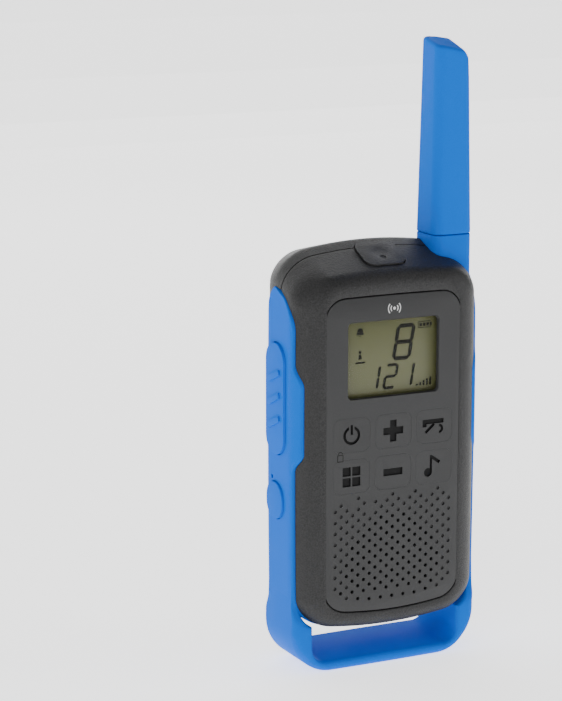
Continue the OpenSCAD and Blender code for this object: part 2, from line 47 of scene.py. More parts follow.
# ---------------------------------------------------------------- front housing
# Dark ABS moulding with a fine spark-eroded grain. It wraps the front, the sloping
# top and the front of both flanks, and ends at the soft side frame in a thin seam.
HALF_W, FRONT, BACK = 28.9, -15.0, 13.0
CASE_LOW, CASE_HIGH, CORNER = 12.0, 120.2, 9.5
MIDDLE = (CASE_LOW + CASE_HIGH) / 2
SIDE_ROUND, FOOT_ROUND, BACK_ROUND = 8.0, 4.0, 11.5
SLOPE, FALL = math.tan(math.radians(26)), math.tan(math.radians(14))
BUTTON = Vector((0, -7, 116.35))
RIDGE = BUTTON.y + (CASE_HIGH - BUTTON.z) / SLOPE
PROUD = 0.4
SAG_LOW, SAG_HIGH, SIDE_BOW = 1 / 250, 1 / 236, 0.012
SEAM = 0.07
LIP = 0.3
WALL = 1.8


def ease(t):
    t = np.clip(t, 0, 1)
    return t * t * (3 - 2 * t)


def outline_plan(side_z, ends=22, arc=18):
    """Where each point of a closed outline lies: on a corner's arc or between two corners.
    It starts at the middle of the top and runs down the left flank, seen from the front."""
    rows = []
    corners = [(-1, 1, 90, 180), (-1, -1, 180, 270), (1, -1, 270, 360), (1, 1, 0, 90)]
    top, bottom = MIDDLE + 44, MIDDLE - 44
    down = [(top - z) / (top - bottom) for z in side_z]
    up = [1 - t for t in reversed(down)]
    across = [k / ends for k in range(1, ends)]
    half = [0.5 + k / ends / 2 for k in range(ends)]
    between = [down, across, up, None]
    for t in half:
        rows.append((1, 1, 90, -1, 1, 90, t))
    for k, (sx, sz, a0, a1) in enumerate(corners):
        for j in range(arc + 1):
            a = a0 + (a1 - a0) * j / arc
            rows.append((sx, sz, a, sx, sz, a, 0))
        nxt = corners[(k + 1) % 4]
        for t in between[k] or []:
            rows.append((sx, sz, a1, nxt[0], nxt[1], nxt[2], t))
    for t in half[1:]:
        rows.append((1, 1, 90, -1, 1, 90, t - 0.5))
    return np.array(rows, float)


SIDE_Z = [MIDDLE + 34 + 10 * math.sin(math.pi / 2 * k / 16) for k in range(15, 0, -1)]
SIDE_Z += [MIDDLE + 34 - 77 * k / 96 for k in range(97)]
PLAN = outline_plan(SIDE_Z)
TURN = len(PLAN)


def outline(half_w, low, high, radius, sag_low, sag_high, bow=0.0):
    """Points in X and Z of the rounded outline; every size may differ from point to point."""
    def corner(sx, sz, a):
        a = np.radians(a)
        x = sx * (half_w - radius) + radius * np.cos(a)
        z = np.where(sz > 0, high - radius, low + radius) + radius * np.sin(a)
        return x, z
    ax, az = corner(PLAN[:, 0], PLAN[:, 1], PLAN[:, 2])
    bx, bz = corner(PLAN[:, 3], PLAN[:, 4], PLAN[:, 5])
    t = PLAN[:, 6]
    x, z = ax * (1 - t) + bx * t, az * (1 - t) + bz * t
    reach = (z - MIDDLE) / (CASE_HIGH - MIDDLE)
    sag = np.where(reach > 0, -sag_high, sag_low) * x * x * np.abs(reach) ** 4
    return x * (1 - bow * reach * reach), z + sag


def pulled_in(y, face, radius):
    d = np.clip(radius - np.abs(y - face), 0, radius)
    return radius - np.sqrt(np.maximum(radius * radius - d * d, 0))


def case_surface(y, inset=0.0, frame_skin=False):
    """The case's skin at depth y (one value, or one for each outline point), pulled in by inset.
    The soft frame's skin stands a little out of it and has less rounded edges."""
    y = np.broadcast_to(np.asarray(y, float), (TURN,)).copy()
    side = pulled_in(y, FRONT, SIDE_ROUND) + pulled_in(y, BACK, BACK_ROUND)
    reach = -side
    if frame_skin:
        reach = np.minimum(PROUD, 0.6 - pulled_in(y, FRONT - 0.6, SIDE_ROUND + 0.6)
                           - pulled_in(y, BACK + 0.6, BACK_ROUND + 0.6))
    foot = pulled_in(y, FRONT, FOOT_ROUND) + pulled_in(y, BACK, FOOT_ROUND)
    cy, nose = FRONT + 5, 5.0
    cz = BUTTON.z + (cy - BUTTON.y) * SLOPE - nose / math.cos(math.atan(SLOPE))
    slope = BUTTON.z + (y - BUTTON.y) * SLOPE
    fall = CASE_HIGH - (y - RIDGE) * FALL
    top = (slope + fall) / 2 - np.sqrt((slope - fall) ** 2 / 4 + 0.02)
    tangent = cy - nose * math.sin(math.atan(SLOPE))
    arc = cz + np.sqrt(np.maximum(nose * nose - np.clip(cy - y, 0, nose) ** 2, 0))
    top = np.where(y < tangent, arc, top) - pulled_in(y, BACK, 5.0)
    radius = CORNER - 0.45 * side - inset
    x, z = outline(HALF_W + reach - inset, CASE_LOW + foot + inset, top - inset, radius,
                   SAG_LOW, SAG_HIGH, SIDE_BOW)
    return np.stack([x, y, z], 1)


def panel_ring(grow, y):
    x, z = outline(21.2 + grow, 16.9 - grow, 106.9 + grow, 6 + grow, 1 / 150, 1 / 560)
    return np.stack([x, np.full(TURN, y), z], 1)


def flare(z):
    return ease((z - 61.0) / 5.5) * (1 - ease((z - 86.5) / 6.0))


REST = case_surface(0.0)
RX, RZ = REST[:, 0], REST[:, 2]
BAND_FRONT, BAND_BACK, BAND_TIP = -10.2, 4.8, 109.3
BAND_MID, TIP_R = (BAND_FRONT + BAND_BACK) / 2, (BAND_BACK - BAND_FRONT) / 2
TIP_LOW = BAND_TIP - TIP_R
FLARE_OUT = 2.3
ON_TOP = RZ > BAND_TIP
TIP = np.sqrt(np.maximum(TIP_R ** 2 - np.clip(RZ - TIP_LOW, 0, TIP_R) ** 2, 0))
COLLAR_X, COLLAR_Y, COLLAR_W, COLLAR_D, COLLAR_R = 23.0, -1.4, 12.6, 12.4, 3.0
COLLAR_LEFT = COLLAR_X - COLLAR_W / 2
FROM_LEFT = np.clip(RX - (COLLAR_X - COLLAR_W / 2), 0, COLLAR_R)
COLLAR_HALF = COLLAR_D / 2 - COLLAR_R + np.sqrt(np.maximum(COLLAR_R ** 2 - (COLLAR_R - FROM_LEFT) ** 2, 0))
NEAR_COLLAR = ON_TOP & (RX > COLLAR_X - COLLAR_W / 2)
UP_RIGHT = (RX > COLLAR_LEFT) & (RZ > 102)
LEFT_TIP = (RX < 0) & (RZ > TIP_LOW)
FRONT_SEAM = np.where(LEFT_TIP, BAND_MID - TIP, BAND_FRONT - FLARE_OUT * flare(RZ) * (np.abs(RX) > 20))
FRONT_SEAM = np.where(UP_RIGHT, BAND_FRONT + 2.5 * ease((RZ - 102) / 9), FRONT_SEAM)
FRONT_SEAM = np.where(ON_TOP & (RX < COLLAR_LEFT), BAND_MID, FRONT_SEAM)
FRONT_SEAM = np.where(NEAR_COLLAR, COLLAR_Y - COLLAR_HALF - 0.1, FRONT_SEAM)
BACK_SEAM = np.where(LEFT_TIP, BAND_MID + TIP, BAND_BACK)
BACK_SEAM = np.where(ON_TOP & (RX < COLLAR_LEFT), BAND_MID, BACK_SEAM)
BACK_SEAM = np.where(NEAR_COLLAR, COLLAR_Y + COLLAR_HALF + 0.1, BACK_SEAM)


def mesh_object(name, verts, faces, smooth=35):
    """A closed mesh from millimetres, its faces turned outwards, smooth but for sharp edges."""
    mesh = bpy.data.meshes.new(name)
    mesh.from_pydata([tuple(v) for v in np.asarray(verts, float) * MM], [], faces)
    obj = bpy.data.objects.new(name, mesh)
    bpy.context.scene.collection.objects.link(obj)
    clean(obj, smooth)
    return obj


def clean(obj, smooth=35, merge=0.000002):
    bm = bmesh.new()
    bm.from_mesh(obj.data)
    bmesh.ops.remove_doubles(bm, verts=bm.verts, dist=merge)
    bmesh.ops.dissolve_degenerate(bm, edges=bm.edges, dist=merge)
    bmesh.ops.recalc_face_normals(bm, faces=bm.faces)
    bm.to_mesh(obj.data)
    bm.free()
    obj.data.polygons.foreach_set("use_smooth", [True] * len(obj.data.polygons))
    obj.data.set_sharp_from_angle(angle=math.radians(smooth))
    return obj


def loft(name, rings, close_ends=True, loop=False, smooth=35):
    """Skins a stack of closed rings. With loop the last ring joins the first."""
    count = len(rings[0])
    verts = np.concatenate(rings)
    faces = []
    for k in range(len(rings) if loop else len(rings) - 1):
        a, b = k * count, (k + 1) % len(rings) * count
        for j in range(count):
            n = (j + 1) % count
            faces.append((a + j, a + n, b + n, b + j))
    if close_ends and not loop:
        faces.append(tuple(range(count)))
        faces.append(tuple((len(rings) - 1) * count + j for j in reversed(range(count))))
    return mesh_object(name, verts, faces, smooth)


def applied(obj):
    """Turns an object's modifiers into plain mesh."""
    graph = bpy.context.evaluated_depsgraph_get()
    graph.update()
    mesh = bpy.data.meshes.new_from_object(obj.evaluated_get(graph))
    obj.modifiers.clear()
    obj.data = mesh
    return obj


def carve(obj, cutters, operation="DIFFERENCE", smooth=35):
    for cutter in cutters:
        m = obj.modifiers.new("cut", "BOOLEAN")
        m.object, m.operation, m.solver = cutter, operation, "EXACT"
    applied(obj)
    for cutter in cutters:
        bpy.data.objects.remove(cutter)
    return clean(obj, smooth)


def finished(obj, body, slot_name, material, *stands_for):
    obj.data.materials.clear()
    obj.data.materials.append(material)
    obj.data.polygons.foreach_set("material_index", [0] * len(obj.data.polygons))
    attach(obj, body)
    if stands_for:
        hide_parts(*stands_for)
    return obj


def node(tree, kind, inputs=None, **settings):
    made = tree.nodes.new(kind)
    for key, value in settings.items():
        setattr(made, key, value)
    for key, value in (inputs or {}).items():
        if isinstance(value, bpy.types.NodeSocket):
            tree.links.new(value, made.inputs[key])
        else:
            made.inputs[key].default_value = value
    return made


def ramp(tree, fac, stops):
    made = node(tree, "ShaderNodeValToRGB", {0: fac})
    line = made.color_ramp
    while len(line.elements) < len(stops):
        line.elements.new(0.5)
    for element, (place, value) in zip(line.elements, stops):
        element.position = place
        element.color = (*value, 1) if isinstance(value, tuple) else (value, value, value, 1)
    return made.outputs[0]


def plastic(name, colour, rough=0.55, grain=0.35, depth=0.06, wear=0.25, spread=0.10, shine=0.45,
            metal=0.0, glow=0.0):
    """Moulded plastic or rubber: grain is the size of the texture and depth its height, in mm;
    wear lightens edges, spread is how far the colour wanders over the surface, shine is how
    strongly it reflects and glow how much light it gives off itself."""
    mat = bpy.data.materials.new(name)
    mat.use_nodes = True
    tree = mat.node_tree
    shader = tree.nodes["Principled BSDF"]
    place = node(tree, "ShaderNodeTexCoord").outputs["Object"]
    fine = node(tree, "ShaderNodeTexNoise", {"Vector": place, "Scale": 1 / (grain * MM), "Detail": 3.0,
                                             "Roughness": 0.6}).outputs[0]
    broad = node(tree, "ShaderNodeTexNoise", {"Vector": place, "Scale": 60.0, "Detail": 4.0}).outputs[0]
    edge = node(tree, "ShaderNodeNewGeometry").outputs["Pointiness"]
    rubbed = ramp(tree, edge, [(0.52, 0.0), (0.60, 1.0)])
    patchy = node(tree, "ShaderNodeMath", {0: rubbed, 1: broad}, operation="MULTIPLY").outputs[0]
    amount = node(tree, "ShaderNodeMath", {0: patchy, 1: wear}, operation="MULTIPLY").outputs[0]
    dark = tuple(c * (1 - spread) for c in colour)
    light = tuple(min(1, c * (1 + spread)) for c in colour)
    worn = tuple(min(1, c * 1.6 + 0.02) for c in colour)
    base = ramp(tree, fine, [(0.35, dark), (0.65, light)])
    mixed = node(tree, "ShaderNodeMix", {0: amount, 6: base, 7: (*worn, 1)}, data_type="RGBA")
    tree.links.new(mixed.outputs[2], shader.inputs["Base Color"])
    smoother, rougher = rough * 0.92, min(1, rough * 1.1)
    gloss = node(tree, "ShaderNodeMapRange", {"Value": broad, "From Min": 0.3, "From Max": 0.7,
                                              "To Min": smoother, "To Max": rougher}).outputs[0]
    tree.links.new(gloss, shader.inputs["Roughness"])
    bump = node(tree, "ShaderNodeBump", {"Height": fine, "Strength": 0.6, "Distance": depth * MM}).outputs[0]
    tree.links.new(bump, shader.inputs["Normal"])
    shader.inputs["Metallic"].default_value = metal
    shader.inputs["Specular IOR Level"].default_value = shine
    if glow:
        shader.inputs["Emission Color"].default_value = (1, 1, 1, 1)
        shader.inputs["Emission Strength"].default_value = glow
    return mat


def tilted_prism(name, grow, low, high, points=48):
    """The top button's outline on the slope, from low to high above the slope's surface."""
    ring = []
    for k in range(points):
        a = 2 * math.pi * k / points
        c, s = math.cos(a), math.sin(a)
        n = 4.0
        u = (6.3 + grow) * math.copysign(abs(c) ** (2 / n), c)
        v = (5.5 + grow) * math.copysign(abs(s) ** (2 / n), s)
        ring.append((u, v + 0.8))
    tilt = math.atan(SLOPE)
    rings = []
    for h in (low, high):
        rings.append(np.array([(u, BUTTON.y + v * math.cos(tilt) - h * math.sin(tilt),
                                BUTTON.z + v * math.sin(tilt) + h * math.cos(tilt)) for u, v in ring]))
    return loft(name, rings)


rings = [panel_ring(-1.5, -13.75), panel_ring(0.0, -13.75), panel_ring(0.0, FRONT + LIP)]
for k in range(1, 4):
    a = math.pi / 2 * k / 3
    rings.append(panel_ring(LIP * (1 - math.cos(a)), FRONT + LIP * (1 - math.sin(a))))
seam_end = FRONT_SEAM - SEAM - LIP
for k in range(41):
    rings.append(case_surface(FRONT + (seam_end - FRONT) * (k / 40) ** 1.8))
for k in range(1, 5):
    a = math.pi / 2 * k / 4
    rings.append(case_surface(seam_end + LIP * math.sin(a), LIP * (1 - math.cos(a))))
rings.append(case_surface(seam_end + LIP, WALL))
for k in range(6):
    rings.append(case_surface(seam_end + (FRONT + WALL - seam_end) * (k + 1) / 7, WALL))
rings.append(panel_ring(-1.5, FRONT + WALL + 0.6))
front_housing = loft("front_housing_skin", rings, loop=True)
carve(front_housing, [tilted_prism("button_hole", 0.32, -6, 6)])
dark_abs = plastic("dark_abs", (0.0135, 0.0135, 0.0138), rough=0.46, grain=0.42,
                   depth=0.30, wear=0.3, spread=0.5, shine=0.34)
finished(front_housing, "radio", "housing_dark", dark_abs, "front_housing")

# ---------------------------------------------------------------- front panel
# Separate satin plastic plate let into the housing. The window and the six keys are cut
# out of it and the sound holes are drilled: through over the speaker, shallow elsewhere.
PANEL_T = 1.1
WINDOW_W, WINDOW_H, WINDOW_Z = 28.0, 21.1, 89.05
KEY_GAP = 0.025
KEY_DX, KEY_ROWS, KEY_W, KEY_H, KEY_R = 13.0, (68.4, 56.7), 11.4, 9.6, 2.2
HOLE_DX, HOLE_DZ, HOLE_Z, HOLE_R, SPEAKER_Z, OPEN_R = 1.8, 1.575, 34.6, 0.48, 30.8, 14.7
TOP_ROWS = {0: 10, 1: 9, 2: 8, 3: 9, 4: 10, 5: 9, 6: 8, 7: 9, 8: 10, 9: 9, 10: 8}
LEFT_ROWS = {2: 8, 4: 6, 6: 10, 7: 7, 8: 8}


def rounded_box(name, x, z, width, height, radius, y0, y1, arc=8, flare_out=0.0):
    """A prism along Y with rounded corners; flare_out widens its front end."""
    ring = []
    for sx, sz, a0 in ((1, 1, 0), (-1, 1, 90), (-1, -1, 180), (1, -1, 270)):
        for j in range(arc + 1):
            a = math.radians(a0 + 90 * j / arc)
            ring.append((sx * (width / 2 - radius) + radius * math.cos(a),
                         sz * (height / 2 - radius) + radius * math.sin(a)))
    def at(y, g):
        return np.array([(x + u * (1 + g / (width / 2)), y, z + v * (1 + g / (height / 2))) for u, v in ring])
    levels = [at(y0, flare_out)] + ([at(y0 + 0.5 + flare_out, 0)] if flare_out else []) + [at(y1, 0)]
    return loft(name, levels)


def top_row(i):
    return TOP_ROWS[abs(i)] if i > 0 or abs(i) not in LEFT_ROWS else LEFT_ROWS[-i]


holes = []
for i in range(-10, 11):
    for j in range(-10, 9):
        last = {10: 6, 9: 7}.get(abs(i), 8)
        if (i + j) % 2 or j < -top_row(i) or j > last:
            continue
        droop = 1.1 * (1 - float(ease((abs(i) - 4) / 4))) if j == 8 else 0
        x, z = i * HOLE_DX, HOLE_Z - HOLE_DZ * j - droop
        through = math.hypot(x, z - SPEAKER_Z) < OPEN_R or (i, j) == (-9, 7)
        holes.append((x, FRONT, z, 2.0 if through else 0.45))

plate_rings = [panel_ring(-0.25, FRONT + PANEL_T)]
for k in range(4):
    a = math.pi / 2 * k / 3
    plate_rings.append(panel_ring(-0.25 - 0.25 * (1 - math.cos(a)), FRONT + 0.25 * (1 - math.sin(a))))
front_panel = loft("front_panel_plate", plate_rings)
cuts = [rounded_box("window_cut", 0, WINDOW_Z, WINDOW_W, WINDOW_H, 1.2, FRONT - 0.5, FRONT + 3,
                    flare_out=0.55)]
for kx in (-KEY_DX, 0, KEY_DX):
    for kz in KEY_ROWS:
        cuts.append(rounded_box("key_cut", kx, kz, KEY_W + 2 * KEY_GAP, KEY_H + 2 * KEY_GAP, KEY_R + 0.02,
                                FRONT - 1, FRONT + 3))
carve(front_panel, cuts)


def drill_tree():
    """Sets a bit on every point, as deep as the point's own depth, and cuts all of them out."""
    tree = bpy.data.node_groups.new("drilled_holes", "GeometryNodeTree")
    face = tree.interface
    face.new_socket("Geometry", in_out="INPUT", socket_type="NodeSocketGeometry")
    for label, kind in (("Centres", "NodeSocketObject"), ("Hole radius", "NodeSocketFloat"),
                        ("Rim", "NodeSocketFloat"), ("Material", "NodeSocketMaterial")):
        face.new_socket(label, in_out="INPUT", socket_type=kind)
    face.new_socket("Geometry", in_out="OUTPUT", socket_type="NodeSocketGeometry")
    given = tree.nodes.new("NodeGroupInput").outputs
    centres = node(tree, "GeometryNodeObjectInfo", {"Object": given["Centres"]}).outputs["Geometry"]
    deep = node(tree, "GeometryNodeInputNamedAttribute", {"Name": "depth"}, data_type="FLOAT").outputs[0]
    shank = node(tree, "GeometryNodeMeshCylinder", {"Vertices": 14, "Radius": given["Hole radius"],
                                                     "Depth": 2.0}).outputs["Mesh"]
    scale = node(tree, "ShaderNodeCombineXYZ", {0: 1.0, 1: 1.0, 2: deep}).outputs[0]
    flat = node(tree, "FunctionNodeInputVector")
    flat.vector = (math.pi / 2, 0, 0)
    turned = flat.outputs[0]
    shanks = node(tree, "GeometryNodeInstanceOnPoints", {"Points": centres, "Instance": shank,
                                                          "Rotation": turned, "Scale": scale}).outputs[0]
    radius, rim = given["Hole radius"], given["Rim"]
    wide = node(tree, "ShaderNodeMath", {0: radius, 1: rim}, operation="ADD").outputs[0]
    high = node(tree, "ShaderNodeMath", {0: rim, 1: 4.0}, operation="MULTIPLY").outputs[0]
    wider = node(tree, "ShaderNodeMath", {0: wide, 1: rim}, operation="ADD").outputs[0]
    cone = node(tree, "GeometryNodeMeshCone", {"Vertices": 14, "Radius Top": wider, "Radius Bottom": radius,
                                                "Depth": high}).outputs["Mesh"]
    lowered = node(tree, "GeometryNodeTransform", {"Geometry": cone,
                                                   "Translation": (0, 0, -0.1 * MM)}).outputs[0]
    rims = node(tree, "GeometryNodeInstanceOnPoints", {"Points": centres, "Instance": lowered,
                                                        "Rotation": turned}).outputs[0]
    real_shanks = node(tree, "GeometryNodeRealizeInstances", {0: shanks}).outputs[0]
    real_rims = node(tree, "GeometryNodeRealizeInstances", {0: rims}).outputs[0]
    first = node(tree, "GeometryNodeMeshBoolean", {"Mesh 1": given["Geometry"], "Mesh 2": real_shanks},
                 operation="DIFFERENCE", solver="EXACT").outputs[0]
    second = node(tree, "GeometryNodeMeshBoolean", {"Mesh 1": first, "Mesh 2": real_rims},
                  operation="DIFFERENCE", solver="EXACT").outputs[0]
    real = node(tree, "GeometryNodeRealizeInstances", {0: second}).outputs[0]
    painted = node(tree, "GeometryNodeSetMaterial", {"Geometry": real,
                                                     "Material": given["Material"]}).outputs[0]
    out = tree.nodes.new("NodeGroupOutput")
    tree.links.new(painted, out.inputs[0])
    return tree


panel_grey = plastic("panel_satin", (0.0235, 0.0238, 0.0245), rough=0.46, grain=0.5,
                     depth=0.02, wear=0.2, spread=0.06, shine=0.34)
centre_mesh = bpy.data.meshes.new("hole_centres")
centre_mesh.from_pydata([(x * MM, y * MM, z * MM) for x, y, z, d in holes], [], [])
centre_mesh.attributes.new("depth", "FLOAT", "POINT").data.foreach_set("value", [h[3] * MM for h in holes])
hole_centres = bpy.data.objects.new("hole_centres", centre_mesh)
bpy.context.scene.collection.objects.link(hole_centres)
drilled = front_panel.modifiers.new("drilled", "NODES")
drilled.node_group = drill_tree()
ids = {s.name: s.identifier for s in drilled.node_group.interface.items_tree if s.in_out == "INPUT"}
drilled[ids["Centres"]] = hole_centres
drilled[ids["Hole radius"]] = HOLE_R * MM
drilled[ids["Rim"]] = 0.05 * MM
drilled[ids["Material"]] = panel_grey
applied(front_panel)
bpy.data.objects.remove(hole_centres)
clean(front_panel, 30)
finished(front_panel, "radio", "panel_grey", panel_grey, "front_panel")

# ---------------------------------------------------------------- bevelled CAD pieces
# Moulded and pressed pieces whose form is plain: their machined shape is kept and every
# hard edge gets the small radius that a real mould leaves.


def softened(node_name, width, segments=3, limit=28):
    """A copy of a machined piece with a rounding of the given width on its hard edges."""
    source = frame["nodes"][node_name]
    obj = bpy.data.objects.new(node_name + "_part", source.data.copy())
    bpy.context.scene.collection.objects.link(obj)
    bm = bmesh.new()
    bm.from_mesh(obj.data)
    bmesh.ops.remove_doubles(bm, verts=bm.verts, dist=0.000004)
    bmesh.ops.dissolve_limit(bm, angle_limit=math.radians(1.0), verts=bm.verts, edges=bm.edges)
    bm.to_mesh(obj.data)
    bm.free()
    bevel = obj.modifiers.new("edge", "BEVEL")
    bevel.width, bevel.segments, bevel.limit_method = width * MM, segments, "ANGLE"
    bevel.angle_limit, bevel.harden_normals = math.radians(limit), False
    applied(obj)
    return clean(obj, 40)


# ---------------------------------------------------------------- keys
# Six areas of the same grey plastic, level with the panel, each with its symbol pressed in.
# The recess of each symbol, floor and walls, is darkened and made less shiny in the colour: painted shade.
SYMBOL_PAINTED_SHADE, KEY_SHINE = 0.28, 0.34
key_grey_painted_shade = panel_grey.copy()
key_grey_painted_shade.name = "key_satin"
tree = key_grey_painted_shade.node_tree
shader = tree.nodes["Principled BSDF"]
face_colour = shader.inputs["Base Color"].links[0].from_socket
place = node(tree, "ShaderNodeTexCoord").outputs["Object"]
depth_in = node(tree, "ShaderNodeSeparateXYZ", {0: place}).outputs[1]
# Painted shade: past the key's face the colour is darkened and the reflection lowered.
shade = node(tree, "ShaderNodeMapRange", {"Value": depth_in, "From Min": (FRONT + 0.02) * MM,
                                          "From Max": (FRONT + 0.12) * MM,
                                          "To Min": 1.0, "To Max": SYMBOL_PAINTED_SHADE}).outputs[0]
painted_shade_colour = node(tree, "ShaderNodeVectorMath", {0: face_colour, 3: shade}, operation="SCALE").outputs[0]
tree.links.new(painted_shade_colour, shader.inputs["Base Color"])
level = node(tree, "ShaderNodeMath", {0: shade, 1: KEY_SHINE}, operation="MULTIPLY").outputs[0]
tree.links.new(level, shader.inputs["Specular IOR Level"])
for key in ("power", "up", "call", "menu", "down", "tone"):
    cap = clean(softened(f"key_{key}", 0.03, 1), 12)
    finished(cap, f"key_{key}", "panel_grey", key_grey_painted_shade, f"key_{key}")

# ---------------------------------------------------------------- top button
# Dark rocker cap on the slope, with a shallow round dish for the fingertip and a small
# crescent pit in it. Same plastic as the housing, standing a little proud in a dark gap.
top_cap = softened("top_button", 0.45, 4)
finished(top_cap, "top_button", "housing_dark", dark_abs, "top_button")

# ---------------------------------------------------------------- side frame, collar and loop
# One soft blue moulding: a band round both flanks and the underside that flares on to the
# front edges beside the talk button, the open loop below and the collar under the antenna.
soft_blue = plastic("soft_blue", (0.0, 0.12, 0.62), rough=0.6, grain=0.2, depth=0.03,
                    wear=0.0, spread=0.05, shine=0.04)


def section_loop(front_y, back_y, inner, lip, along=12):
    """One band section as (depth, inset) pairs, with rounded lips at both edges."""
    pairs = [(front_y + lip * (1 - math.cos(math.pi / 2 * k / 4)), lip * (1 - math.sin(math.pi / 2 * k / 4)))
             for k in range(5)]
    for k in range(1, along):
        pairs.append((front_y + lip + (back_y - front_y - 2 * lip) * k / along, 0.0))
    pairs += [(back_y - lip * (1 - math.cos(math.pi / 2 * k / 4)), lip * (1 - math.sin(math.pi / 2 * k / 4)))
              for k in range(4, -1, -1)]
    pairs += [(back_y, inner), (front_y, inner)]
    return pairs


lips = np.minimum(LIP, (BACK_SEAM - FRONT_SEAM - 2 * SEAM) / 2.2).clip(0.004)
pairs = [section_loop(f + SEAM, b - SEAM, WALL, l) for f, b, l in
         zip(FRONT_SEAM, np.maximum(BACK_SEAM, FRONT_SEAM + 2 * SEAM + 0.02), lips)]
columns = [case_surface(np.array([p[m][0] for p in pairs]), np.array([p[m][1] for p in pairs]), True)
           for m in range(len(pairs[0]))]
first = int(np.argmax((RX < 0) & (RZ < BAND_TIP - 0.1)))
last = int(np.max(np.nonzero((RX > 20) & (RZ < 114))))
band = loft("blue_band", [np.array([c[i] for c in columns]) for i in range(first, last + 1)])

LOOP_FRONT, LOOP_BACK, LOOP_R, SLOT_X, SLOT_R, SLOT_Z = -12.0, 8.0, 12.5, 23.0, 4.0, 3.1


def arc_points(cx, cz, r, a0, a1, n):
    return [(cx + r * math.cos(math.radians(a0 + (a1 - a0) * k / n)),
             cz + r * math.sin(math.radians(a0 + (a1 - a0) * k / n))) for k in range(n)]


def line_points(x0, z0, x1, z1, n):
    return [(x0 + (x1 - x0) * k / n, z0 + (z1 - z0) * k / n) for k in range(n)]


out_x = (HALF_W + PROUD) * 0.992
outer_path = line_points(-out_x + 0.25, 30, -out_x, 20, 8) + line_points(-out_x, 20, -out_x, LOOP_R, 8)
outer_path += arc_points(-out_x + LOOP_R, LOOP_R, LOOP_R, 180, 225, 10)
outer_path += arc_points(-out_x + LOOP_R, LOOP_R, LOOP_R, 225, 270, 10)
outer_path += line_points(-out_x + LOOP_R, 0, 0, 0, 12) + [(0, 0)]
inner_path = line_points(-27.0, 30, -27.2, 20.6, 8)
inner_path += arc_points(-19.3, 20.6, 7.9, 180, 242, 8)
inner_path += line_points(-SLOT_X, 13.6, -SLOT_X, SLOT_Z + SLOT_R, 10)
inner_path += arc_points(-SLOT_X + SLOT_R, SLOT_Z + SLOT_R, SLOT_R, 180, 270, 10)
inner_path += line_points(-SLOT_X + SLOT_R, SLOT_Z, 0, SLOT_Z, 12) + [(0, SLOT_Z)]
outer_path += [(-x, z) for x, z in reversed(outer_path[:-1])]
inner_path += [(-x, z) for x, z in reversed(inner_path[:-1])]
loop_rings = []
for (ox, oz), (ix, iz) in zip(outer_path, inner_path):
    out, into = np.array([ox, oz]), np.array([ix, iz])
    thick = float(np.linalg.norm(into - out))
    toward = (into - out) / thick
    grown = 1 - float(ease((oz - 13.5) / 7.0))
    y0 = BAND_FRONT + 0.2 + (LOOP_FRONT - BAND_FRONT - 0.2) * grown
    y1 = BAND_BACK - 0.2 + (LOOP_BACK - BAND_BACK + 0.2) * grown
    scoop = float(ease((11 - iz) / 5))
    r_out = 0.3 + 2.1 * grown * min(1, thick / 4.4)
    r_in = 0.3 + 1.2 * grown * min(1, thick / 4.4)
    corners = [(r_out, y0 + r_out, r_out, 180, 270), (thick - r_in, y0 + r_in, r_in, 270, 360),
               (thick - r_in, y1 - r_in, r_in, 0, 90), (r_out, y1 - r_out, r_out, 90, 180)]
    ring = []
    for cu, cy, r, a0, a1 in corners:
        for j in range(7):
            a = math.radians(a0 + (a1 - a0) * j / 6)
            u, y = cu + r * math.cos(a), cy + r * math.sin(a)
            lift = scoop * max(0, u / thick - 0.35) / 0.65 * (y - LOOP_FRONT) / 20 * 1.6
            p = out + toward * u
            ring.append((p[0], y, p[1] + lift))
    loop_rings.append(np.array(ring))
loop_part = loft("loop_part", loop_rings)


def pillar_ring(cx, cy, half_x, half_y, radius, z, arc=9):
    ring = []
    for sx, sy, a0 in ((1, 1, 0), (-1, 1, 90), (-1, -1, 180), (1, -1, 270)):
        for j in range(arc + 1):
            a = math.radians(a0 + 90 * j / arc)
            ring.append((cx + sx * (half_x - radius) + radius * math.cos(a),
                         cy + sy * (half_y - radius) + radius * math.sin(a), z))
    return np.array(ring)


SEAM_Z = 120.6
collar_rings = [pillar_ring(COLLAR_X, COLLAR_Y, COLLAR_W / 2, COLLAR_D / 2, COLLAR_R, z)
                for z in (108.0, 112.0, 116.0, SEAM_Z - 0.4)]
for k in range(1, 4):
    a = math.pi / 2 * k / 3
    g = 0.3 * (1 - math.cos(a))
    collar_rings.append(pillar_ring(COLLAR_X, COLLAR_Y, COLLAR_W / 2 - g, COLLAR_D / 2 - g, COLLAR_R - g,
                                    SEAM_Z - 0.4 + 0.3 * math.sin(a)))
collar = loft("collar", collar_rings)

PTT_Y, PTT_Z, PTT_W, PTT_H = -1.4, 77.7, 10.9, 31.4
MON_Y, MON_Z, MON_W, MON_H = -0.9, 48.7, 9.6, 10.4


def side_plug(name, cy, cz, width, height, x0, x1, arc=14):
    r = min(width, height) / 2 - 0.1
    ring = []
    for sy, sz, a0 in ((1, 1, 0), (-1, 1, 90), (-1, -1, 180), (1, -1, 270)):
        for j in range(arc + 1):
            a = math.radians(a0 + 90 * j / arc)
            ring.append((cy + sy * (width / 2 - r) + r * math.cos(a),
                         cz + sz * (height / 2 - r) + r * math.sin(a)))
    return loft(name, [np.array([(x, y, z) for y, z in ring]) for x in (x0, x1)])


